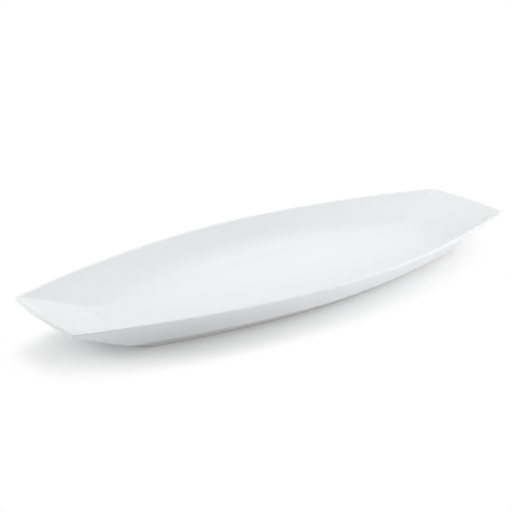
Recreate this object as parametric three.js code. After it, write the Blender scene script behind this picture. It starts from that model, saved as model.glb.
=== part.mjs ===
import * as THREE from 'three';

// A boat-shaped porcelain serving platter: a fired body on a bare foot ring, with a clear gloss glaze over
// everything except the foot. Millimetres, +Z up, X along the platter, origin on the table under its middle.

// Rim outline, over the glaze
const LENGTH = 460; // middle of one end to middle of the other
const WIDTH = 180; // across the middle
const END_WIDTH = 90; // corner to corner across each end
const END_BOW = 3; // swell of each end beyond its corners
const SIDE_POWER = 1.87; // sweep of the long sides, where 2 is a parabola
const RIM_CORNER = 2.2; // corner radius at the rim

// Section, over the glaze
const HEIGHT = 34; // table to the top of the lip
const FLOOR_THICKNESS = 5.5; // underside of the body to the well's floor
const WALL_ANGLE = THREE.MathUtils.degToRad(48); // slope of the long walls
const WALL_COVE = 30; // inner radius between the floor and a long wall
const WALL_BILGE = 22; // outer radius between the base and a long wall
const RAMP_ANGLE = THREE.MathUtils.degToRad(21); // slope of the end ramps
const RAMP_COVE = 90; // inner radius between the floor and an end ramp
const UNDERSIDE_ANGLE = THREE.MathUtils.degToRad(27); // slope of the ramps' undersides
const UNDERSIDE_BILGE = 50; // outer radius between the base and a ramp's underside
const FLOOR_END_WIDTH = 58; // across each end of the floor
const BASE_END_WIDTH = 66; // across each end of the flat base
const FLOOR_CORNER = 8; // corner radius of the floor and of the base

// Lip
const LIP_WIDTH = 3.4; // inner edge to outer edge
const LIP_EDGE = 1.5; // upright face at each end, below the lip's round
const LIP_ROUND = 0.8; // radius along both top edges
const LIP_ROUND_SHARE = 0.45; // most of the lip's width that one round may take

// Foot ring
const FOOT_HEIGHT = 6; // table to the underside of the body
const FOOT_INSET = 0.8; // in from the edge of the flat base
const FOOT_FACE = 4; // width of the ground face that stands on the table
const FOOT_EASE = 1.3; // bevel along both edges of that face
const FOOT_TAPER = 0.5; // how far each flank leans in from the body to the bevel

// Glaze
const GLAZE = 0.35; // thickness of the fired glaze
const GLAZE_GAP = 0.3; // bare line between the glaze and the foot ring

// Steps of the faceted surfaces
const SIDE_STEPS = 14;
const END_STEPS = 6;
const CORNER_STEPS = 3;
const COVE_STEPS = 5;
const LIP_STEPS = 2;

const rimTop = HEIGHT - FOOT_HEIGHT; // heights in the dish count from the underside of the body
const lipRound = Math.min(LIP_ROUND, LIP_ROUND_SHARE * LIP_WIDTH);
const rim = { half: LENGTH / 2, mid: WIDTH / 2, end: END_WIDTH / 2, corner: RIM_CORNER };

// Outlines: half is the half-length at the middle of an end, mid the half-width at the middle of the length,
// and end the half-width at a corner.

// Draw an outline further in, by one distance along its sides and one at its ends. A corner moves along both
// of its edges at once.
function inset(outline, distance, endDistance = distance) {
  const slope = (SIDE_POWER * (outline.mid - outline.end)) / (outline.half - END_BOW);
  const half = outline.half - endDistance;
  const mid = outline.mid - distance;
  const end = outline.end - distance * Math.hypot(1, slope) + endDistance * slope;
  return { ...outline, half, mid, end };
}

// Walk a square of half-width 1 anticlockwise, with corners rounded by the given radii along the two axes.
function roundedSquare(radiusP, radiusQ) {
  const arcs = [[1, 1], [-1, 1], [-1, -1], [1, -1]].map(([signP, signQ], corner) => {
    const points = [];
    for (let step = 0; step <= CORNER_STEPS; step += 1) {
      const angle = (Math.PI / 2) * (corner + step / CORNER_STEPS);
      const p = signP * (1 - radiusP) + radiusP * Math.cos(angle);
      const q = signQ * (1 - radiusQ) + radiusQ * Math.sin(angle);
      points.push(new THREE.Vector2(p, q));
    }
    return points;
  });
  return arcs.flatMap((arc, corner) => {
    const last = arc[CORNER_STEPS];
    const next = arcs[(corner + 1) % arcs.length][0];
    const steps = corner % 2 === 0 ? SIDE_STEPS : END_STEPS;
    const straight = [];
    for (let step = 1; step < steps; step += 1) {
      straight.push(last.clone().lerp(next, step / steps));
    }
    return [...arc, ...straight];
  });
}

// Place an outline at a height, as a closed ring of points.
function ring({ half, mid, end, corner }, z) {
  const tip = half - END_BOW;
  return roundedSquare(corner / tip, corner / end).map(({ x: p, y: q }) => {
    const x = p * (tip + END_BOW * (1 - q * q));
    const y = q * (end + (mid - end) * (1 - Math.abs(p) ** SIDE_POWER));
    return new THREE.Vector3(x, y, z);
  });
}

// Measure how far out a slope has run at a height above the flat, when it leaves the flat by a round.
function slopeRun(height, radius, angle) {
  const arcRise = Math.min(height, radius * (1 - Math.cos(angle)));
  return Math.sqrt(arcRise * (2 * radius - arcRise)) + (height - arcRise) / Math.tan(angle);
}

// Lip: an inner and an outer round, whose centres lie at one height.
const lipCentre = rimTop - lipRound;
const lipInner = LIP_WIDTH - lipRound; // from the rim's edge in to the inner round's centre

// Measure how far in from the rim a slope of the well reaches. It runs from where it touches the lip's inner
// round down to the flat floor.
function slopeInset(radius, angle) {
  const rise = lipCentre + lipRound * Math.cos(angle) - FLOOR_THICKNESS;
  return lipInner + lipRound * Math.sin(angle) + slopeRun(rise, radius, angle);
}

// Inside of the well: the floor is what the slopes leave between them.
const floorHalf = rim.half - slopeInset(RAMP_COVE, RAMP_ANGLE);
const floorMid = rim.mid - slopeInset(WALL_COVE, WALL_ANGLE);

// Half-length of the well at a height, at a depth below the glaze: up a ramp and over the lip's inner round.
function wellHalf(z, depth) {
  const radius = lipRound - depth;
  const aboveCentre = z - lipCentre;
  if (aboveCentre > radius * Math.cos(RAMP_ANGLE)) {
    return rim.half - lipInner - Math.sqrt(Math.max(radius ** 2 - aboveCentre ** 2, 0));
  }
  return floorHalf + slopeRun(z - FLOOR_THICKNESS + depth, RAMP_COVE + depth, RAMP_ANGLE);
}

// Outline of the lip's inner round, at an angle up from level.
function lipInside(angle, depth) {
  const radius = lipRound - depth;
  const z = lipCentre + radius * Math.sin(angle);
  return { outline: inset(rim, lipInner + radius * Math.cos(angle), rim.half - wellHalf(z, depth)), z };
}

// The walls and the ramps meet in creases, which run straight in plan. They start at the brink, where the
// walls touch the lip's inner round.
const wallLean = Math.PI / 2 - WALL_ANGLE;
const brink = lipInside(wallLean, 0).outline;
const crease = (brink.end - FLOOR_END_WIDTH / 2) / (brink.half - floorHalf); // their slope in plan

// Outside of the dish: the long walls run down from the lip's outer round, and the ramps' undersides from the
// lower edge of the end faces. They meet in creases too.
const edgeRise = lipCentre - LIP_EDGE + GLAZE;
const baseHalf = rim.half - slopeRun(edgeRise, UNDERSIDE_BILGE, UNDERSIDE_ANGLE);
const baseMid = rim.mid - slopeRun(lipCentre + GLAZE, WALL_BILGE, WALL_ANGLE);
const base = { half: baseHalf, mid: baseMid, end: BASE_END_WIDTH / 2, corner: FLOOR_CORNER };
const edgeEnd = rim.end - LIP_EDGE / Math.tan(WALL_ANGLE);
const outerCrease = (edgeEnd - base.end) / (rim.half - base.half);

// The plan corners ease from the floor's radius to the rim's on the way up.
function cornerAt(z) {
  return THREE.MathUtils.lerp(FLOOR_CORNER, RIM_CORNER, THREE.MathUtils.clamp(z / rimTop, 0, 1));
}

// Ring of the well's surface, at a depth below the glaze.
function insideRing(rise, depth) {
  const z = FLOOR_THICKNESS - depth + rise;
  const half = wellHalf(z, depth);
  const mid = floorMid + slopeRun(rise, WALL_COVE + depth, WALL_ANGLE);
  return ring({ half, mid, end: brink.end - crease * (brink.half - half), corner: cornerAt(z) }, z);
}

// Ring of the outer surface, at a depth below the glaze.
function outsideRing(rise, depth) {
  const run = slopeRun(rise, UNDERSIDE_BILGE - depth, UNDERSIDE_ANGLE);
  const half = Math.min(base.half + run, rim.half - depth);
  const mid = base.mid + slopeRun(rise, WALL_BILGE - depth, WALL_ANGLE);
  const z = depth - GLAZE + rise;
  return ring({ half, mid, end: edgeEnd - outerCrease * (rim.half - half), corner: cornerAt(z) }, z);
}

// Rings of the dish from the floor of the well, over the lip and down to the bare line beside the foot.
function dishRings(depth) {
  const rings = [];
  const coveRadius = WALL_COVE + depth;
  for (let step = 0; step <= COVE_STEPS; step += 1) {
    const angle = (WALL_ANGLE * step) / COVE_STEPS;
    rings.push(insideRing(coveRadius * (1 - Math.cos(angle)), depth));
  }
  for (let step = 0; step <= LIP_STEPS; step += 1) {
    const { outline, z } = lipInside(THREE.MathUtils.lerp(wallLean, Math.PI / 2, step / LIP_STEPS), depth);
    rings.push(ring(outline, z));
  }
  const lipRadius = lipRound - depth;
  for (let step = 0; step <= LIP_STEPS; step += 1) {
    const angle = (Math.PI / 2) * (1 - step / LIP_STEPS);
    const distance = lipRound - lipRadius * Math.cos(angle);
    rings.push(ring(inset(rim, distance), lipCentre + lipRadius * Math.sin(angle)));
  }
  rings.push(outsideRing(edgeRise, depth));
  const bilgeRadius = WALL_BILGE - depth;
  for (let step = COVE_STEPS; step >= 0; step -= 1) {
    const angle = (WALL_ANGLE * step) / COVE_STEPS;
    rings.push(outsideRing(bilgeRadius * (1 - Math.cos(angle)), depth));
  }
  rings.push(ring(inset(base, FOOT_INSET - GLAZE_GAP), depth - GLAZE));
  return rings;
}

// Surfaces are lists of triangles.

// Join two rings with a band, which faces up where the second ring lies outside the first.
function band(first, second) {
  return first.flatMap((point, index) => {
    const next = (index + 1) % first.length;
    return [[point, second[index], second[next]], [point, second[next], first[next]]];
  });
}

function bands(rings) {
  return rings.slice(1).flatMap((next, index) => band(rings[index], next));
}

// Fill a ring with a flat face that looks up.
function face(points) {
  const centre = new THREE.Vector3(0, 0, points[0].z);
  return points.map((point, index) => [centre, point, points[(index + 1) % points.length]]);
}

function turned(triangles) {
  return triangles.map(([a, b, c]) => [a, c, b]);
}

function piece(name, triangles, material) {
  const geometry = new THREE.BufferGeometry().setFromPoints(triangles.flat());
  geometry.computeVertexNormals();
  const mesh = new THREE.Mesh(geometry, material);
  mesh.name = name;
  return mesh;
}

function makeBody() {
  const rings = dishRings(GLAZE);
  const surface = [...face(rings[0]), ...bands(rings), ...turned(face(rings[rings.length - 1]))];
  const biscuit = new THREE.MeshStandardMaterial({ color: '#e9e7e2', roughness: 0.75, metalness: 0 });
  return piece('porcelain_body', surface, biscuit);
}

function makeGlazeCoat() {
  const over = dishRings(0);
  const under = dishRings(GLAZE);
  const edge = band(over[over.length - 1], under[under.length - 1]);
  const outer = [...face(over[0]), ...bands(over)];
  const inner = turned([...face(under[0]), ...bands(under)]);
  const glaze = new THREE.MeshStandardMaterial({ color: '#eef0f2', roughness: 0.12, metalness: 0 });
  return piece('glaze_coat', [...outer, ...edge, ...inner], glaze);
}

// The foot's section runs from its outer top edge down, across the ground face and up to its inner top edge.
const footBottom = FOOT_INSET + FOOT_TAPER + FOOT_EASE;
const footInside = footBottom + FOOT_FACE + FOOT_EASE + FOOT_TAPER;

function makeFootRing() {
  const section = [
    [FOOT_INSET, FOOT_HEIGHT],
    [FOOT_INSET + FOOT_TAPER, FOOT_EASE],
    [footBottom, 0],
    [footBottom + FOOT_FACE, 0],
    [footInside - FOOT_TAPER, FOOT_EASE],
    [footInside, FOOT_HEIGHT],
  ];
  const rings = section.map(([distance, z]) => ring(inset(base, distance), z));
  const bareFoot = new THREE.MeshStandardMaterial({ color: '#e2dfd8', roughness: 0.85, metalness: 0 });
  return piece('foot_ring', bands([...rings, rings[0]]), bareFoot);
}

function makeBaseGlaze() {
  const panel = inset(base, footInside + GLAZE_GAP);
  const top = ring(panel, 0);
  const bottom = ring(panel, -GLAZE);
  const glaze = new THREE.MeshStandardMaterial({ color: '#eceef0', roughness: 0.15, metalness: 0 });
  return piece('base_glaze', [...face(top), ...band(top, bottom), ...turned(face(bottom))], glaze);
}

// The dish stands on its foot.
const dish = new THREE.Group();
dish.add(makeBody(), makeGlazeCoat(), makeBaseGlaze());
dish.position.z = FOOT_HEIGHT;

const platter = new THREE.Group();
platter.add(makeFootRing(), dish);

export default platter;
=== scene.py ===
"""A boat-shaped white porcelain serving platter, glazed except for its ground foot, in a white studio.

Lengths are in metres. X runs along the platter, +Z is up and the table is at zero.
"""

import logging
import math
from dataclasses import astuple, dataclass
from enum import Enum
from functools import cached_property
from typing import Mapping, Optional, Sequence, Union

import bpy
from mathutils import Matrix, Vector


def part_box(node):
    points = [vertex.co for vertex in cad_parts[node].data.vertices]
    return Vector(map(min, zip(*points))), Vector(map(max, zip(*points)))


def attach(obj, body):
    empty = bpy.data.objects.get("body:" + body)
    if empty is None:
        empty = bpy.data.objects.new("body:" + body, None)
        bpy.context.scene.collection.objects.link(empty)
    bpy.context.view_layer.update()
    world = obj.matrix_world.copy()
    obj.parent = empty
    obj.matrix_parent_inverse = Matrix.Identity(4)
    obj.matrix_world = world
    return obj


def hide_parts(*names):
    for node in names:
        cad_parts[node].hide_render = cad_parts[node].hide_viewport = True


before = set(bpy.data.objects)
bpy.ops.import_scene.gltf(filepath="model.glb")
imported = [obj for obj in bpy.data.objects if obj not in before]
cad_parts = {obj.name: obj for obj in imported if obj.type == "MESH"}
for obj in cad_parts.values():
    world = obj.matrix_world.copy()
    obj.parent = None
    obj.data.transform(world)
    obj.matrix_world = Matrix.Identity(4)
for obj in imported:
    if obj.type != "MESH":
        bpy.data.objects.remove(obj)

LOG = logging.getLogger("platter")
BODY = "root"

Number = Union[float, "Value"]
Colour = tuple[float, float, float, float]
Point = tuple[float, float, float]
Span = tuple[float, float]  # low and high

WHITE: Colour = (1.0, 1.0, 1.0, 1.0)
MIX_COLOUR = 2  # place of the colour among a Mix node's outputs
NOISE_MIDDLE = 0.5


class Value:
    """A number that a node tree works out. Python's operators on it add Math nodes."""

    def __init__(self, graph: "Graph", socket: bpy.types.NodeSocket) -> None:
        """Wrap an output socket of one of the graph's nodes."""
        self.graph = graph
        self.socket = socket

    def _math(self, operation: str, *operands: Number) -> "Value":
        """Add a Math node that works on the operands, and return its result."""
        node = self.graph.add("ShaderNodeMath", {"operation": operation}, dict(enumerate(operands)))
        return Value(self.graph, node.outputs[0])

    def __add__(self, other: Number) -> "Value":
        """Return self + other."""
        return self._math("ADD", self, other)

    def __radd__(self, other: Number) -> "Value":
        """Return other + self."""
        return self._math("ADD", other, self)

    def __sub__(self, other: Number) -> "Value":
        """Return self - other."""
        return self._math("SUBTRACT", self, other)

    def __rsub__(self, other: Number) -> "Value":
        """Return other - self."""
        return self._math("SUBTRACT", other, self)

    def __mul__(self, other: Number) -> "Value":
        """Return self * other."""
        return self._math("MULTIPLY", self, other)

    def __rmul__(self, other: Number) -> "Value":
        """Return other * self."""
        return self._math("MULTIPLY", other, self)

    def __truediv__(self, other: Number) -> "Value":
        """Return self / other."""
        return self._math("DIVIDE", self, other)

    def __pow__(self, other: Number) -> "Value":
        """Return self raised to other."""
        return self._math("POWER", self, other)

    def __mod__(self, other: Number) -> "Value":
        """Return the rest of self over other."""
        return self._math("MODULO", self, other)

    def function(self, operation: str, *others: Number) -> "Value":
        """Return a named Math operation on self, such as COSINE or MAXIMUM."""
        return self._math(operation, self, *others)

    def span(self, low: Number, high: Number, smooth: bool = False) -> "Value":
        """Return where self lies between low and high, held from 0 to 1.

        Args:
            low: The value that gives 0.
            high: The value that gives 1.
            smooth: Whether the way from 0 to 1 eases in and out.

        Returns:
            The share, as a number of the same graph.
        """
        kind = "SMOOTHSTEP" if smooth else "LINEAR"
        inputs = {"Value": self, "From Min": low, "From Max": high}
        node = self.graph.add("ShaderNodeMapRange", {"interpolation_type": kind}, inputs)
        return Value(self.graph, node.outputs["Result"])


@dataclass(frozen=True)
class Graph:
    """A node tree that is written as Python expressions."""

    tree: bpy.types.NodeTree

    def add(
        self,
        kind: str,
        settings: Optional[Mapping[str, object]] = None,
        inputs: Optional[Mapping[Union[int, str], object]] = None,
    ) -> bpy.types.Node:
        """Add a node.

        Args:
            kind: The node's type name.
            settings: The node's own properties, which are set first.
            inputs: What each input socket holds or is linked to, by its place, its identifier or its name.

        Returns:
            The new node.
        """
        node = self.tree.nodes.new(kind)
        for name, setting in (settings or {}).items():
            setattr(node, name, setting)
        for key, content in (inputs or {}).items():
            self._fill(self._input(node, key), content)
        return node

    def value(self, kind: str, output: Union[int, str], *made_with: Mapping) -> Value:
        """Add a node and return one of its outputs as a number."""
        return Value(self, self.add(kind, *made_with).outputs[output])

    @staticmethod
    def _input(node: bpy.types.Node, key: Union[int, str]) -> bpy.types.NodeSocket:
        """Return a node's input by its place, its identifier or its name, in that order."""
        if isinstance(key, int):
            return node.inputs[key]
        by_identifier = [socket for socket in node.inputs if socket.identifier == key]
        return by_identifier[0] if by_identifier else node.inputs[key]

    def _fill(self, socket: bpy.types.NodeSocket, content: object) -> None:
        """Link an input socket to another socket, or set it to a plain value."""
        if isinstance(content, Value):
            content = content.socket
        if isinstance(content, bpy.types.NodeSocket):
            self.tree.links.new(content, socket)
        else:
            socket.default_value = content


def blank_material(name: str) -> tuple[bpy.types.Material, Graph]:
    """Return a new material with no nodes, and the graph that fills it."""
    material = bpy.data.materials.new(name)
    material.use_nodes = True
    material.node_tree.nodes.clear()
    return material, Graph(material.node_tree)


@dataclass(frozen=True)
class Outline:
    """A boat-shaped outline in plan."""

    half: float  # half-length at the middle of an end
    mid: float  # half-width at the middle of the length
    end: float  # half-width at a corner
    corner: float  # corner radius
    bow: float  # swell of each end beyond its corners

    def inset(self, distance: float, side_power: float, end_distance: Optional[float] = None) -> "Outline":
        """Return the outline that lies further in. A corner moves along both of its edges at once.

        Args:
            distance: How far the sides move in.
            side_power: The sweep of the sides.
            end_distance: How far the ends move in, if that is not as far as the sides.

        Returns:
            The outline.
        """
        at_ends = distance if end_distance is None else end_distance
        slope = side_power * (self.mid - self.end) / (self.half - self.bow)
        end = self.end - distance * math.hypot(1, slope) + at_ends * slope
        return Outline(self.half - at_ends, self.mid - distance, end, self.corner, self.bow)

    def mixed(self, other: "Outline", share: float) -> "Outline":
        """Return the outline that lies a share of the way to another."""
        pairs = zip(astuple(self), astuple(other))
        return Outline(*(mine + share * (theirs - mine) for mine, theirs in pairs))


POINT_OUTLINE = Outline(0, 0, 0, 0, 0)


@dataclass(frozen=True)
class Station:
    """A ring of a section: an outline at a height, with how the glaze lies there."""

    outline: Outline
    height: float
    pool: float = 0.0  # 1 where glaze gathers, -1 where it runs thin

    def mixed(self, other: "Station", share: float) -> "Station":
        """Return the station that lies a share of the way to another."""
        height = self.height + share * (other.height - self.height)
        pool = self.pool + share * (other.pool - self.pool)
        return Station(self.outline.mixed(other.outline, share), height, pool)

    def distance(self, other: "Station") -> float:
        """Return how far another station lies, measured at the middle of the long side."""
        return math.hypot(self.outline.mid - other.outline.mid, self.height - other.height)


def eased(
    stations: Sequence[Station], index: int, reach: float, steps: int = 5, furthest: float = 0.5
) -> list[Station]:
    """Round a section's corner with a short curve that stays inside it.

    Args:
        stations: The section.
        index: Which of its stations is the corner.
        reach: How far from the corner the curve starts and ends.
        steps: The number of steps in the curve.
        furthest: The most that the curve takes of the way to the next station.

    Returns:
        The section with stations along the curve in place of the corner.
    """
    corner = stations[index]
    before = stations[index - 1]
    after = stations[(index + 1) % len(stations)]
    start = corner.mixed(before, min(furthest, reach / max(corner.distance(before), reach)))
    finish = corner.mixed(after, min(furthest, reach / max(corner.distance(after), reach)))
    shares = [step / steps for step in range(steps + 1)]
    curve = [start.mixed(corner, s).mixed(corner.mixed(finish, s), s) for s in shares]
    return [*stations[:index], *curve, *stations[index + 1 :]]


class Closing(Enum):
    """How a lofted skin closes."""

    POLES = 0  # its first and last stations are points
    LOOP = 1  # its last station joins its first


@dataclass(frozen=True)
class RingLoft:
    """A node tree that lofts a skin through the boat-shaped rings of a section."""

    side_power: float
    end_steps: int = 18
    corner_steps: int = 10
    side_steps: int = 56
    sharp_angle: float = math.radians(35)

    STATION_SIZES = ("tip", "bow", "mid", "end", "corner", "height", "pool")
    MERGE_DISTANCE = 1e-6
    LEAST_SIZE = 1e-6

    @cached_property
    def tree(self) -> bpy.types.NodeTree:
        """The tree. Its geometry input is a line with one point for each station."""
        tree = bpy.data.node_groups.new("ring_loft", "GeometryNodeTree")
        tree.is_modifier = True
        sockets = [
            ("Section", "NodeSocketGeometry"),
            ("Side Power", "NodeSocketFloat"),
            ("End Steps", "NodeSocketInt"),
            ("Corner Steps", "NodeSocketInt"),
            ("Side Steps", "NodeSocketInt"),
            ("Sharp Angle", "NodeSocketFloat"),
            ("Loop", "NodeSocketInt"),
            ("Finish", "NodeSocketMaterial"),
        ]
        for name, kind in sockets:
            tree.interface.new_socket(name=name, in_out="INPUT", socket_type=kind)
        tree.interface.new_socket(name="Skin", in_out="OUTPUT", socket_type="NodeSocketGeometry")
        self._fill_tree(Graph(tree))
        return tree

    def _fill_tree(self, graph: Graph) -> None:
        """Add the nodes that place a grid's points on the rings and finish the skin."""
        given = graph.add("NodeGroupInput").outputs
        end_steps, corner_steps, side_steps = (
            Value(graph, given[name]) for name in ("End Steps", "Corner Steps", "Side Steps")
        )
        section = given["Section"]
        stations = graph.value("GeometryNodeAttributeDomainSize", "Point Count", {}, {"Geometry": section})
        quarter = end_steps + corner_steps + side_steps
        around = quarter * 4
        along = stations - 1 + Value(graph, given["Loop"])
        grid_sizes = {
            "Size X": around,
            "Size Y": along,
            "Vertices X": around + 1,
            "Vertices Y": along + 1,
        }
        grid = graph.add("GeometryNodeMeshGrid", {}, grid_sizes)
        place = graph.add("GeometryNodeInputPosition").outputs["Position"]
        split = graph.add("ShaderNodeSeparateXYZ", {}, {"Vector": place}).outputs
        step = around / 2 - Value(graph, split["X"])
        station = (Value(graph, split["Y"]) + along / 2).function("ROUND") % stations
        sizes = {name: self._sampled(graph, section, name, station) for name in self.STATION_SIZES}
        x, y = self._plan(graph, sizes, step, around, (end_steps, corner_steps, side_steps))
        spot = graph.add("ShaderNodeCombineXYZ", {}, {"X": x, "Y": y, "Z": sizes["height"]})

        pooled_inputs = {"Geometry": grid.outputs["Mesh"], "Name": "pool", "Value": sizes["pool"]}
        pooled = graph.add("GeometryNodeStoreNamedAttribute", {"data_type": "FLOAT"}, pooled_inputs)
        placed_inputs = {"Geometry": pooled.outputs[0], "Position": spot.outputs[0]}
        placed = graph.add("GeometryNodeSetPosition", {}, placed_inputs)
        merge_inputs = {"Geometry": placed.outputs[0], "Distance": self.MERGE_DISTANCE}
        merged = graph.add("GeometryNodeMergeByDistance", {}, merge_inputs)
        smooth = graph.add("GeometryNodeSetShadeSmooth", {"domain": "FACE"}, {"Geometry": merged.outputs[0]})
        angle = graph.value("GeometryNodeInputMeshEdgeAngle", "Unsigned Angle")
        sharp = angle.function("GREATER_THAN", Value(graph, given["Sharp Angle"]))
        crisp_inputs = {"Geometry": smooth.outputs[0], "Selection": sharp, "Shade Smooth": False}
        crisp = graph.add("GeometryNodeSetShadeSmooth", {"domain": "EDGE"}, crisp_inputs)
        real = graph.add("GeometryNodeRealizeInstances", {}, {"Geometry": crisp.outputs[0]})
        dressed_inputs = {"Geometry": real.outputs[0], "Material": given["Finish"]}
        dressed = graph.add("GeometryNodeSetMaterial", {}, dressed_inputs)
        graph.add("NodeGroupOutput", {}, {"Skin": dressed.outputs[0]})

    @staticmethod
    def _sampled(graph: Graph, section: bpy.types.NodeSocket, name: str, station: Value) -> Value:
        """Return a size of the station that a grid point belongs to."""
        number = {"data_type": "FLOAT"}
        stored = graph.value("GeometryNodeInputNamedAttribute", "Attribute", number, {"Name": name})
        inputs = {"Geometry": section, "Value": stored, "Index": station}
        return graph.value("GeometryNodeSampleIndex", "Value", number, inputs)

    def _plan(
        self, graph: Graph, sizes: Mapping[str, Value], step: Value, around: Value, counts: Sequence[Value]
    ) -> tuple[Value, Value]:
        """Work out where a ring's point lies in plan.

        The point walks the edge of a square with rounded corners, which is then bent into the boat shape.

        Args:
            graph: The tree that the nodes go into.
            sizes: The station's sizes.
            step: How many steps the point is round the ring.
            around: The number of steps in a full ring.
            counts: The steps along half an end, round a corner and along half a side.

        Returns:
            The point's X and Y.
        """
        end_steps, corner_steps, side_steps = counts
        walked = step.function("PINGPONG", around / 4)
        on_end = walked.span(0.0, end_steps)
        on_corner = walked.span(end_steps, end_steps + corner_steps) * (math.pi / 2)
        on_side = walked.span(end_steps + corner_steps, end_steps + corner_steps + side_steps)
        round_p = sizes["corner"] / sizes["tip"].function("MAXIMUM", self.LEAST_SIZE)
        round_q = sizes["corner"] / sizes["end"].function("MAXIMUM", self.LEAST_SIZE)
        p = (1 - round_p) * (1 - on_side) + round_p * on_corner.function("COSINE")
        q = (1 - round_q) * on_end + round_q * on_corner.function("SINE")
        turn = step / around * math.tau
        reach_x = sizes["tip"] + sizes["bow"] * (1 - q * q)
        power = Value(graph, graph.add("NodeGroupInput").outputs["Side Power"])
        reach_y = sizes["end"] + (sizes["mid"] - sizes["end"]) * (1 - p**power)
        x = turn.function("COSINE").function("SIGN") * p * reach_x
        y = turn.function("SINE").function("SIGN") * q * reach_y
        return x, y

    def skin(
        self, name: str, stations: Sequence[Station], closing: Closing, finish: bpy.types.Material
    ) -> bpy.types.Object:
        """Loft a skin and turn it into a plain mesh.

        Args:
            name: The new piece's name.
            stations: The section, in the order that runs from the top face outwards and down.
            closing: How the skin closes.
            finish: The skin's material.

        Returns:
            The piece, linked to the scene.
        """
        piece = bpy.data.objects.new(name, self._section_line(name, stations))
        bpy.context.scene.collection.objects.link(piece)
        modifier = piece.modifiers.new("loft", "NODES")
        modifier.node_group = self.tree
        settings = {
            "Side Power": self.side_power,
            "End Steps": self.end_steps,
            "Corner Steps": self.corner_steps,
            "Side Steps": self.side_steps,
            "Sharp Angle": self.sharp_angle,
            "Loop": closing.value,
            "Finish": finish,
        }
        for item in self.tree.interface.items_tree:
            if item.name in settings:
                modifier[item.identifier] = settings[item.name]
        depsgraph = bpy.context.evaluated_depsgraph_get()
        lofted = piece.evaluated_get(depsgraph)
        mesh = bpy.data.meshes.new_from_object(lofted, preserve_all_data_layers=True, depsgraph=depsgraph)
        piece.modifiers.remove(modifier)
        line = piece.data
        piece.data = mesh
        mesh.name = name
        bpy.data.meshes.remove(line)
        return piece

    def _section_line(self, name: str, stations: Sequence[Station]) -> bpy.types.Mesh:
        """Return a line with a point for each station, which carries the station's sizes."""
        line = bpy.data.meshes.new(f"{name}_section")
        points = [(station.outline.mid, 0.0, station.height) for station in stations]
        line.from_pydata(points, [(index, index + 1) for index in range(len(points) - 1)], [])
        for size in self.STATION_SIZES:
            attribute = line.attributes.new(size, "FLOAT", "POINT")
            attribute.data.foreach_set("value", [self._size(station, size) for station in stations])
        return line

    @staticmethod
    def _size(station: Station, name: str) -> float:
        """Return one of a station's sizes by its name in the tree."""
        if name == "tip":
            return station.outline.half - station.outline.bow
        owner = station if name in ("height", "pool") else station.outline
        return getattr(owner, name)


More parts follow.
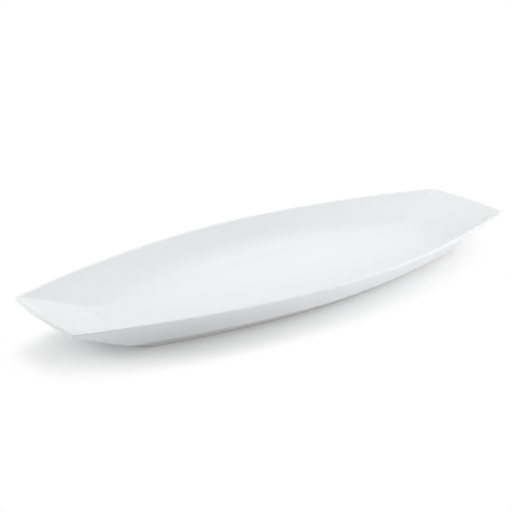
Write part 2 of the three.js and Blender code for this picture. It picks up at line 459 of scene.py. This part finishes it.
@dataclass(frozen=True)
class DishForm:
    """The shape of the glazed dish. Heights count from the table and depths from the glaze's surface."""

    half_length: float
    half_width: float
    rim_height: float
    base_height: float  # underside of the fired body
    glaze: float
    end_half_width: float = 0.045
    end_bow: float = 0.003
    side_power: float = 1.87
    rim_corner: float = 0.0022
    floor_thickness: float = 0.0055
    floor_end_half_width: float = 0.029
    base_end_half_width: float = 0.033
    floor_corner: float = 0.008
    wall_angle: float = math.radians(48)
    wall_cove: float = 0.030
    wall_bilge: float = 0.022
    ramp_angle: float = math.radians(21)
    ramp_cove: float = 0.090
    underside_angle: float = math.radians(27)
    underside_bilge: float = 0.050
    lip_width: float = 0.0034
    lip_edge: float = 0.0015
    lip_round: float = 0.0008
    lip_ease: float = 0.0004
    foot_inset: float = 0.0008
    glaze_gap: float = 0.0003
    floor_shares: tuple[float, ...] = (0.3, 0.6, 0.85, 0.97)
    cove_steps: int = 22
    wall_steps: int = 6
    lip_steps: int = 8

    @classmethod
    def from_frame(cls) -> "DishForm":
        """Return the form with its overall sizes read from the frame."""
        coat_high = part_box("glaze_coat")[1]
        body_low, body_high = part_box("porcelain_body")
        glaze = coat_high.x - body_high.x
        return cls(coat_high.x, coat_high.y, coat_high.z, body_low.z, glaze)

    @staticmethod
    def slope_run(height: float, radius: float, angle: float) -> float:
        """Return how far out a slope has run at a height, when it leaves the flat by a round."""
        arc_rise = min(height, radius * (1 - math.cos(angle)))
        return math.sqrt(arc_rise * (2 * radius - arc_rise)) + (height - arc_rise) / math.tan(angle)

    @property
    def floor_height(self) -> float:
        """Height of the well's floor."""
        return self.base_height + self.floor_thickness

    @property
    def lip_centre(self) -> float:
        """Height of the centres of the lip's two rounds."""
        return self.rim_height - self.lip_round

    @cached_property
    def rim(self) -> Outline:
        """Outline of the rim."""
        return Outline(self.half_length, self.half_width, self.end_half_width, self.rim_corner, self.end_bow)

    @property
    def lip_inner(self) -> float:
        """How far in from the rim's edge the centre of the lip's inner round lies."""
        return self.lip_width - self.lip_round

    @property
    def wall_lean(self) -> float:
        """Angle up from level at which the walls touch the lip's inner round."""
        return math.pi / 2 - self.wall_angle

    def slope_inset(self, radius: float, angle: float) -> float:
        """Return how far in from the rim a slope reaches, from the lip's inner round to the floor."""
        rise = self.lip_centre + self.lip_round * math.cos(angle) - self.floor_height
        return self.lip_inner + self.lip_round * math.sin(angle) + self.slope_run(rise, radius, angle)

    @cached_property
    def floor_half(self) -> float:
        """Half-length of the flat floor."""
        return self.rim.half - self.slope_inset(self.ramp_cove, self.ramp_angle)

    @cached_property
    def floor_mid(self) -> float:
        """Half-width of the flat floor at the middle of the length."""
        return self.rim.mid - self.slope_inset(self.wall_cove, self.wall_angle)

    def well_half(self, height: float, depth: float) -> float:
        """Return the well's half-length at a height, up a ramp and over the lip's inner round."""
        radius = self.lip_round - depth
        above_centre = height - self.lip_centre
        if above_centre > radius * math.cos(self.ramp_angle):
            return self.rim.half - self.lip_inner - math.sqrt(max(radius**2 - above_centre**2, 0))
        rise = height - self.floor_height + depth
        return self.floor_half + self.slope_run(rise, self.ramp_cove + depth, self.ramp_angle)

    def lip_inside(self, angle: float, depth: float) -> Station:
        """Return a station on the lip's inner round, at an angle up from level."""
        radius = self.lip_round - depth
        height = self.lip_centre + radius * math.sin(angle)
        at_ends = self.rim.half - self.well_half(height, depth)
        outline = self.rim.inset(self.lip_inner + radius * math.cos(angle), self.side_power, at_ends)
        return Station(outline, height, -1.0)

    def lip_outside(self, angle: float, depth: float) -> Station:
        """Return a station on the lip's outer round, at an angle up from level."""
        radius = self.lip_round - depth
        outline = self.rim.inset(self.lip_round - radius * math.cos(angle), self.side_power)
        return Station(outline, self.lip_centre + radius * math.sin(angle), -1.0)

    @cached_property
    def brink(self) -> Outline:
        """Outline where the inner walls touch the lip's inner round."""
        return self.lip_inside(self.wall_lean, 0.0).outline

    @cached_property
    def crease(self) -> float:
        """Slope in plan of the creases between the walls and the ramps."""
        return (self.brink.end - self.floor_end_half_width) / (self.brink.half - self.floor_half)

    @property
    def edge_rise(self) -> float:
        """Height of the end faces' lower edge above the glaze's lowest level."""
        return self.lip_centre - self.lip_edge - self.base_height + self.glaze

    @cached_property
    def edge_end(self) -> float:
        """Half-width at a corner, at the end faces' lower edge."""
        return self.rim.end - self.lip_edge / math.tan(self.wall_angle)

    @cached_property
    def base(self) -> Outline:
        """Outline of the flat base."""
        half = self.rim.half - self.slope_run(self.edge_rise, self.underside_bilge, self.underside_angle)
        wall_rise = self.lip_centre - self.base_height + self.glaze
        mid = self.rim.mid - self.slope_run(wall_rise, self.wall_bilge, self.wall_angle)
        return Outline(half, mid, self.base_end_half_width, self.floor_corner, self.end_bow)

    @cached_property
    def outer_crease(self) -> float:
        """Slope in plan of the creases between the walls and the ramps' undersides."""
        return (self.edge_end - self.base.end) / (self.rim.half - self.base.half)

    def corner_at(self, height: float) -> float:
        """Return the plan corners' radius, which eases from the floor's to the rim's on the way up."""
        share = (height - self.base_height) / (self.rim_height - self.base_height)
        return self.floor_corner + min(max(share, 0), 1) * (self.rim_corner - self.floor_corner)

    def inside(self, rise: float, depth: float, pool: float = 0.0) -> Station:
        """Return the station of the well's surface at a rise above its floor."""
        height = self.floor_height - depth + rise
        half = self.well_half(height, depth)
        mid = self.floor_mid + self.slope_run(rise, self.wall_cove + depth, self.wall_angle)
        end = self.brink.end - self.crease * (self.brink.half - half)
        return Station(Outline(half, mid, end, self.corner_at(height), self.end_bow), height, pool)

    def outside(self, rise: float, depth: float, pool: float = 0.0) -> Station:
        """Return the station of the outer surface at a rise above the base."""
        run = self.slope_run(rise, self.underside_bilge - depth, self.underside_angle)
        half = min(self.base.half + run, self.rim.half - depth)
        mid = self.base.mid + self.slope_run(rise, self.wall_bilge - depth, self.wall_angle)
        end = self.edge_end - self.outer_crease * (self.rim.half - half)
        height = self.base_height + depth - self.glaze + rise
        return Station(Outline(half, mid, end, self.corner_at(height), self.end_bow), height, pool)

    def section(self, depth: float) -> list[Station]:
        """Return the dish's section from the middle of the floor, over the lip and down to the bare line.

        Args:
            depth: The depth below the glaze's surface.

        Returns:
            The stations, the first of which is a point.
        """
        floor = self.inside(0.0, depth)
        centre = Station(POINT_OUTLINE, floor.height)
        stations = [centre, *(centre.mixed(floor, share) for share in self.floor_shares)]
        cove = self.wall_cove + depth
        for step in range(self.cove_steps + 1):
            share = step / self.cove_steps
            rise = cove * (1 - math.cos(self.wall_angle * share))
            stations.append(self.inside(rise, depth, math.sin(math.pi * share)))
        brink = self.lip_inside(self.wall_lean, depth)
        stations += [stations[-1].mixed(brink, step / self.wall_steps) for step in range(1, self.wall_steps)]
        for step in range(self.lip_steps + 1):
            angle = self.wall_lean + self.wall_angle * step / self.lip_steps
            stations.append(self.lip_inside(angle, depth))
        for step in range(self.lip_steps + 1):
            angle = math.pi / 2 * (1 - step / self.lip_steps)
            stations.append(self.lip_outside(angle, depth))
        under_lip = len(stations) - 1
        stations.append(self.outside(self.edge_rise, depth))
        bilge = self.wall_bilge - depth
        bilge_top = bilge * (1 - math.cos(self.wall_angle))
        for step in range(1, self.wall_steps):
            share = step / self.wall_steps
            stations.append(self.outside(self.edge_rise + share * (bilge_top - self.edge_rise), depth))
        for step in range(self.cove_steps + 1):
            angle = self.wall_angle * (1 - step / self.cove_steps)
            stations.append(self.outside(bilge * (1 - math.cos(angle)), depth))
        bare_line = self.base.inset(self.foot_inset - self.glaze_gap, self.side_power)
        stations.append(Station(bare_line, stations[-1].height))
        stations = eased(stations, under_lip + 1, self.lip_ease)
        return eased(stations, under_lip, self.lip_ease)


@dataclass(frozen=True)
class PorcelainBody:
    """The fired white body, which shows only as the bare line beside the foot."""

    form: DishForm

    def build(self, loft: RingLoft, finish: bpy.types.Material) -> bpy.types.Object:
        """Make the body and set it in its node's place."""
        stations = self.form.section(self.form.glaze)
        underside = Station(POINT_OUTLINE, stations[-1].height)
        piece = loft.skin("fired_body", [*stations, underside], Closing.POLES, finish)
        return seated(piece, "porcelain_body")


@dataclass(frozen=True)
class GlazeCoat:
    """The gloss glaze over the well, the lip and the outside, down to the bare line beside the foot."""

    form: DishForm
    edge_ease: float = 0.00012

    def build(self, loft: RingLoft, finish: bpy.types.Material) -> bpy.types.Object:
        """Make the coat and set it in its node's place."""
        over = self.form.section(0.0)
        under = self.form.section(self.form.glaze)
        stations = eased([*over, *reversed(under)], len(over) - 1, self.edge_ease)
        piece = loft.skin("gloss_coat", stations, Closing.POLES, finish)
        return seated(piece, "glaze_coat")


@dataclass(frozen=True)
class FootRing:
    """The low ring that the platter stands on, bare of glaze and ground flat."""

    form: DishForm
    face: float = 0.004  # width of the ground face
    bevel: float = 0.0013
    taper: float = 0.0005
    ease: float = 0.0004

    @property
    def inside(self) -> float:
        """How far the ring's inner top edge lies in from the base's edge."""
        return self.form.foot_inset + 2 * (self.taper + self.bevel) + self.face

    def build(self, loft: RingLoft, finish: bpy.types.Material) -> bpy.types.Object:
        """Make the ring and set it in its node's place."""
        outer = self.form.foot_inset
        section = [
            (outer, self.form.base_height),
            (outer + self.taper, self.bevel),
            (outer + self.taper + self.bevel, 0.0),
            (self.inside - self.taper - self.bevel, 0.0),
            (self.inside - self.taper, self.bevel),
            (self.inside, self.form.base_height),
        ]
        stations = [
            Station(self.form.base.inset(distance, self.form.side_power), height)
            for distance, height in section
        ]
        for index in reversed(range(1, len(section) - 1)):
            stations = eased(stations, index, self.ease)
        piece = loft.skin("bare_foot_ring", stations, Closing.LOOP, finish)
        return seated(piece, "foot_ring")


@dataclass(frozen=True)
class BaseGlaze:
    """The panel of glaze on the base, inside the foot ring."""

    foot: FootRing
    edge_ease: float = 0.00012

    LOWER_EDGE = 2  # its place among the stations

    def build(self, loft: RingLoft, finish: bpy.types.Material) -> bpy.types.Object:
        """Make the panel and set it in its node's place."""
        form = self.foot.form
        outline = form.base.inset(self.foot.inside + form.glaze_gap, form.side_power)
        top, bottom = form.base_height, form.base_height - form.glaze
        stations = [
            Station(POINT_OUTLINE, top),
            Station(outline, top),
            Station(outline, bottom),
            Station(POINT_OUTLINE, bottom),
        ]
        stations = eased(stations, self.LOWER_EDGE, self.edge_ease)
        piece = loft.skin("base_glaze_panel", stations, Closing.POLES, finish)
        return seated(piece, "base_glaze")


def seated(piece: bpy.types.Object, node: str) -> bpy.types.Object:
    """Let a piece stand for its node.

    Args:
        piece: The finished piece.
        node: The node that it stands for.

    Returns:
        The piece.
    """
    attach(piece, BODY)
    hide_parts(node)
    LOG.info("%s stands for %s, with %d faces", piece.name, node, len(piece.data.polygons))
    return piece


@dataclass(frozen=True)
class GlazeFinish:
    """Clear gloss glaze over white porcelain, with the faint ripple and clouding of a fired surface."""

    name: str
    colour: Colour = (0.840, 0.848, 0.860, 1.0)
    cloud_colour: Colour = (0.834, 0.843, 0.856, 1.0)
    pooled_colour: Colour = (0.828, 0.841, 0.856, 1.0)
    thin_colour: Colour = (0.846, 0.850, 0.856, 1.0)
    speck_colour: Colour = (0.56, 0.55, 0.53, 1.0)
    refraction: float = 1.52
    roughness: float = 0.09
    roughness_spread: float = 0.05
    cloud_scale: float = 16.0  # waves in a metre, as for the other scales
    cloud_detail: float = 3.0
    cloud_span: Span = (0.35, 0.65)  # of the noise, from clear to clouded
    ripple_scale: float = 26.0
    ripple_detail: float = 1.0
    ripple_height: float = 0.00003
    peel_scale: float = 210.0
    peel_detail: float = 2.0
    peel_height: float = 0.000004
    speck_scale: float = 55.0
    speck_share: float = 0.12  # of the speck cells
    speck_radius: float = 0.00022
    speck_core: float = 0.4  # share of the radius that is full
    speck_depth: float = 0.000008
    smudge_scale: float = 9.0
    smudge_detail: float = 4.0

    def material(self) -> bpy.types.Material:
        """Return the finish as a material."""
        material, graph = blank_material(self.name)
        place = graph.add("ShaderNodeTexCoord").outputs["Object"]
        speck = self._specks(graph, place)
        shader_inputs = {
            "Base Color": self._colour(graph, place, speck),
            "Roughness": self._smudged(graph, place),
            "Normal": self._ripple(graph, place, speck),
            "IOR": self.refraction,
        }
        shader = graph.add("ShaderNodeBsdfPrincipled", {}, shader_inputs)
        graph.add("ShaderNodeOutputMaterial", {}, {"Surface": shader.outputs["BSDF"]})
        return material

    @staticmethod
    def _noise(graph: Graph, place: bpy.types.NodeSocket, scale: float, detail: float) -> Value:
        """Return a soft noise of a given scale, about 0 to 1."""
        inputs = {"Vector": place, "Scale": scale, "Detail": detail}
        return graph.value("ShaderNodeTexNoise", "Fac", {"noise_dimensions": "3D"}, inputs)

    def _specks(self, graph: Graph, place: bpy.types.NodeSocket) -> Value:
        """Return a mask of the few pinholes in the glaze."""
        inputs = {"Vector": place, "Scale": self.speck_scale, "Randomness": 1.0}
        cells = graph.add("ShaderNodeTexVoronoi", {"feature": "F1"}, inputs)
        draw = graph.value("ShaderNodeSeparateColor", "Red", {}, {"Color": cells.outputs["Color"]})
        kept = draw.function("LESS_THAN", self.speck_share)
        edge = self.speck_radius * self.speck_scale
        away = Value(graph, cells.outputs["Distance"])
        return (1 - away.span(self.speck_core * edge, edge, smooth=True)) * kept

    def _colour(self, graph: Graph, place: bpy.types.NodeSocket, speck: Value) -> bpy.types.NodeSocket:
        """Return the colour, which shifts a little where the glaze clouds, gathers or runs thin."""
        noise = self._noise(graph, place, self.cloud_scale, self.cloud_detail)
        cloud = noise.span(*self.cloud_span, smooth=True)
        pool = graph.value("ShaderNodeAttribute", "Fac", {"attribute_name": "pool"})
        layers = [
            (cloud, self.cloud_colour),
            (pool.span(0.0, 1.0, smooth=True), self.pooled_colour),
            (pool.span(0.0, -1.0, smooth=True), self.thin_colour),
            (speck, self.speck_colour),
        ]
        colour: Union[Colour, bpy.types.NodeSocket] = self.colour
        for share, over in layers:
            inputs = {"Factor_Float": share, "A_Color": colour, "B_Color": over}
            colour = graph.add("ShaderNodeMix", {"data_type": "RGBA"}, inputs).outputs[MIX_COLOUR]
        return colour

    def _smudged(self, graph: Graph, place: bpy.types.NodeSocket) -> Value:
        """Return the roughness, which wanders a little over the surface."""
        smudge = self._noise(graph, place, self.smudge_scale, self.smudge_detail)
        return self.roughness + self.roughness_spread * (smudge - NOISE_MIDDLE)

    def _ripple(self, graph: Graph, place: bpy.types.NodeSocket, speck: Value) -> bpy.types.NodeSocket:
        """Return the normal of a surface that ripples slowly, with a fine peel and pinholes in it."""
        ripple = self._noise(graph, place, self.ripple_scale, self.ripple_detail) * self.ripple_height
        peel = self._noise(graph, place, self.peel_scale, self.peel_detail) * self.peel_height
        height = ripple + peel - speck * self.speck_depth
        inputs = {"Strength": 1.0, "Distance": 1.0, "Height": height}
        return graph.add("ShaderNodeBump", {}, inputs).outputs["Normal"]


@dataclass(frozen=True)
class BiscuitFinish:
    """Bare fired porcelain: matt and very finely grained, with painted contact shade in grey patches on the
    face that is ground flat and stands on the table.
    """

    name: str
    colour: Colour = (0.800, 0.796, 0.786, 1.0)
    grain_colour: Colour = (0.762, 0.756, 0.744, 1.0)
    # painted contact shade: the grey that darkens the lowest band of the foot, where it meets the table
    contact_shade_colour: Colour = (0.720, 0.716, 0.706, 1.0)
    roughness: float = 0.72
    roughness_spread: float = 0.16
    grain_scale: float = 2600.0
    grain_detail: float = 3.0
    grain_span: Span = (0.4, 0.7)  # of the noise, from plain to grained
    grain_share: float = 0.6  # of the grain's colour that follows the grain
    grain_height: float = 0.00002
    cloud_scale: float = 60.0
    cloud_detail: float = 4.0
    cloud_share: float = 0.4  # of the grain's colour that follows the clouds
    contact_shade_span: Span = (0.45, 0.7)  # of the clouds, from no painted contact shade to full
    ground_and_shade_height: float = 0.0005  # how far up from the table the grinding and the painted contact shade reach
    ground_polish: float = 0.15  # roughness that the grinding takes off

    def material(self) -> bpy.types.Material:
        """Return the finish as a material."""
        material, graph = blank_material(self.name)
        place = graph.add("ShaderNodeTexCoord").outputs["Object"]
        grain_inputs = {"Vector": place, "Scale": self.grain_scale, "Detail": self.grain_detail}
        grain = graph.value("ShaderNodeTexNoise", "Fac", {}, grain_inputs)
        cloud_inputs = {"Vector": place, "Scale": self.cloud_scale, "Detail": self.cloud_detail}
        cloud = graph.value("ShaderNodeTexNoise", "Fac", {}, cloud_inputs)
        height = graph.value("ShaderNodeSeparateXYZ", "Z", {}, {"Vector": place})
        # The band where the foot meets the table: the grinding makes it smoother, and it is given painted
        # contact shade in patches.
        ground = 1 - height.span(0.0, self.ground_and_shade_height, smooth=True)
        painted_contact_shade = ground * cloud.span(*self.contact_shade_span, smooth=True)
        mix = {"data_type": "RGBA"}
        grained_inputs = {
            "Factor_Float": grain.span(*self.grain_span) * self.grain_share + cloud * self.cloud_share,
            "A_Color": self.colour,
            "B_Color": self.grain_colour,
        }
        grained = graph.add("ShaderNodeMix", mix, grained_inputs).outputs[MIX_COLOUR]
        # Mix in the painted contact shade at the foot's lowest band.
        contact_shade_inputs = {"Factor_Float": painted_contact_shade, "A_Color": grained, "B_Color": self.contact_shade_colour}
        colour = graph.add("ShaderNodeMix", mix, contact_shade_inputs).outputs[MIX_COLOUR]
        bump_inputs = {"Strength": 1.0, "Distance": 1.0, "Height": grain * self.grain_height}
        bump = graph.add("ShaderNodeBump", {}, bump_inputs)
        wander = self.roughness_spread * (grain - NOISE_MIDDLE)
        roughness = self.roughness + wander - self.ground_polish * ground
        shader_inputs = {
            "Base Color": colour,
            "Roughness": roughness,
            "Normal": bump.outputs["Normal"],
        }
        shader = graph.add("ShaderNodeBsdfPrincipled", {}, shader_inputs)
        graph.add("ShaderNodeOutputMaterial", {}, {"Surface": shader.outputs["BSDF"]})
        return material


@dataclass(frozen=True)
class SoftBox:
    """A square soft box that faces the platter and does not show in its glaze."""

    name: str
    bearing: float  # degrees round from +X towards +Y
    elevation: float  # degrees up from level
    distance: float  # from the middle of the platter
    power: float  # in watts
    size: float = 0.4
    aim_height: float = 0.02

    def build(self) -> None:
        """Hang the box."""
        light = bpy.data.lights.new(self.name, "AREA")
        light.shape = "SQUARE"
        light.size = self.size
        light.energy = self.power
        box = bpy.data.objects.new(self.name, light)
        bearing, elevation = math.radians(self.bearing), math.radians(self.elevation)
        out = self.distance * math.cos(elevation)
        height = self.aim_height + self.distance * math.sin(elevation)
        box.location = (out * math.cos(bearing), out * math.sin(bearing), height)
        box.rotation_euler = (0.0, math.pi / 2 - elevation, bearing)
        box.visible_camera = False
        box.visible_glossy = False
        bpy.context.scene.collection.objects.link(box)


SOFT_BOXES = (
    SoftBox("right_box", bearing=-69.4, elevation=25, distance=0.60, power=1.78),
    SoftBox("left_box", bearing=155.6, elevation=8, distance=0.60, power=1.42),
    SoftBox("back_box", bearing=80.6, elevation=60, distance=0.90, power=4.93),
    SoftBox("far_box", bearing=-9.4, elevation=15, distance=2.50, power=21.5, size=2.1),
)


@dataclass(frozen=True)
class Studio:
    """A white floor that fades into a white room, soft boxes round the platter and the camera."""

    eye: Point = (-0.5994, -0.7294, 0.3805)
    camera_tilt: float = math.radians(69.55)
    camera_turn: float = math.radians(-38.06)
    lens_mm: float = 83.84
    sensor_mm: float = 36.0
    floor_half: float = 12.0
    floor_opening: tuple[float, float] = (0.157, 0.0455)  # half-length and half-width, hidden under the base
    floor_steps: int = 48
    floor_drop: float = 0.00005
    floor_colour: Colour = (0.975, 0.975, 0.975, 1.0)
    fade_centre: Point = (-0.0127, -0.0005, 0.0)
    fade_reach: Point = (0.255, 0.100, 1.0)
    fade_foot: float = 0.50  # share of the reach out to which the shadow has no white
    fade_start: float = 0.68  # share of the reach where the fade to white sets in
    fade_least: float = 0.12  # of white in the shadow where the fade sets in
    room_strength: float = 0.2
    boxes: tuple[SoftBox, ...] = SOFT_BOXES

    def build(self) -> None:
        """Make the floor, the room's light, the soft boxes and the camera."""
        bpy.context.scene.view_settings.view_transform = "Standard"
        self._floor()
        self._room()
        for box in self.boxes:
            box.build()
        self._camera()

    @staticmethod
    def _seen(graph: Graph) -> Value:
        """Return 1 for what the camera sees, straight, in a reflection or through glass."""
        rays = graph.add("ShaderNodeLightPath").outputs
        seen = Value(graph, rays["Is Camera Ray"])
        for name in ("Is Glossy Ray", "Is Transmission Ray"):
            seen = seen.function("MAXIMUM", Value(graph, rays[name]))
        return seen

    def _floor(self) -> None:
        """Make the floor, open under the base so that light reaches the base in a view from below."""
        mesh = bpy.data.meshes.new("studio_floor")
        count = self.floor_steps
        turns = [math.tau * step / count for step in range(count)]
        halves = ((self.floor_half, self.floor_half), self.floor_opening)
        points = [(a * math.cos(t), b * math.sin(t), -self.floor_drop) for a, b in halves for t in turns]
        sides = [(i, (i + 1) % count, (i + 1) % count + count, i + count) for i in range(count)]
        mesh.from_pydata(points, [], sides)
        floor = bpy.data.objects.new("studio_floor", mesh)
        bpy.context.scene.collection.objects.link(floor)
        mesh.materials.append(self._floor_finish())

    def _floor_finish(self) -> bpy.types.Material:
        """Return a matt white that keeps the platter's shadow and fades to plain white further off."""
        material, graph = blank_material("studio_white")
        place = graph.add("ShaderNodeTexCoord").outputs["Object"]
        off_inputs = {0: place, 1: self.fade_centre}
        off = graph.add("ShaderNodeVectorMath", {"operation": "SUBTRACT"}, off_inputs).outputs["Vector"]
        share_inputs = {0: off, 1: self.fade_reach}
        share = graph.add("ShaderNodeVectorMath", {"operation": "DIVIDE"}, share_inputs).outputs["Vector"]
        away = graph.value("ShaderNodeVectorMath", "Value", {"operation": "LENGTH"}, {0: share})
        faded = away.span(self.fade_start, 1.0, smooth=True)
        least = self.fade_least * away.span(self.fade_foot, self.fade_start)
        fade = (least + (1 - least) * faded) * self._seen(graph)
        matt = graph.add("ShaderNodeBsdfDiffuse", {}, {"Color": self.floor_colour})
        white = graph.add("ShaderNodeEmission", {}, {"Strength": 1.0})
        mixed_inputs = {0: fade, 1: matt.outputs["BSDF"], 2: white.outputs["Emission"]}
        mixed = graph.add("ShaderNodeMixShader", {}, mixed_inputs)
        behind = graph.add("ShaderNodeNewGeometry").outputs["Backfacing"]
        clear = graph.add("ShaderNodeBsdfTransparent")
        sided_inputs = {0: behind, 1: mixed.outputs["Shader"], 2: clear.outputs["BSDF"]}
        sided = graph.add("ShaderNodeMixShader", {}, sided_inputs)
        graph.add("ShaderNodeOutputMaterial", {}, {"Surface": sided.outputs["Shader"]})
        return material

    def _room(self) -> None:
        """Light the scene evenly from all round, from a room that looks plain white."""
        world = bpy.data.worlds.new("white_room")
        world.use_nodes = True
        world.node_tree.nodes.clear()
        graph = Graph(world.node_tree)
        light_inputs = {"Color": WHITE, "Strength": self.room_strength}
        light = graph.add("ShaderNodeBackground", {}, light_inputs)
        white = graph.add("ShaderNodeBackground", {}, {"Color": WHITE, "Strength": 1.0})
        mixed_inputs = {0: self._seen(graph), 1: light.outputs[0], 2: white.outputs[0]}
        mixed = graph.add("ShaderNodeMixShader", {}, mixed_inputs)
        graph.add("ShaderNodeOutputWorld", {}, {"Surface": mixed.outputs["Shader"]})
        bpy.context.scene.world = world

    def _camera(self) -> None:
        """Stand the camera at the photograph's viewing angle."""
        lens = bpy.data.cameras.new("camera")
        lens.lens = self.lens_mm
        lens.sensor_width = self.sensor_mm
        camera = bpy.data.objects.new("camera", lens)
        camera.location = self.eye
        camera.rotation_euler = (self.camera_tilt, 0.0, self.camera_turn)
        bpy.context.scene.collection.objects.link(camera)
        bpy.context.scene.camera = camera


def main() -> None:
    """Build the platter piece by piece, then the studio round it."""
    logging.basicConfig(level=logging.INFO, format="%(name)s: %(message)s")
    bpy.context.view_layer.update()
    Studio().build()
    form = DishForm.from_frame()
    loft = RingLoft(form.side_power)
    glaze = GlazeFinish("gloss_glaze").material()
    biscuit = BiscuitFinish("fired_biscuit").material()
    foot = FootRing(form)
    PorcelainBody(form).build(loft, biscuit)
    GlazeCoat(form).build(loft, glaze)
    foot.build(loft, biscuit)
    BaseGlaze(foot).build(loft, glaze)


if __name__ == "__main__":
    main()
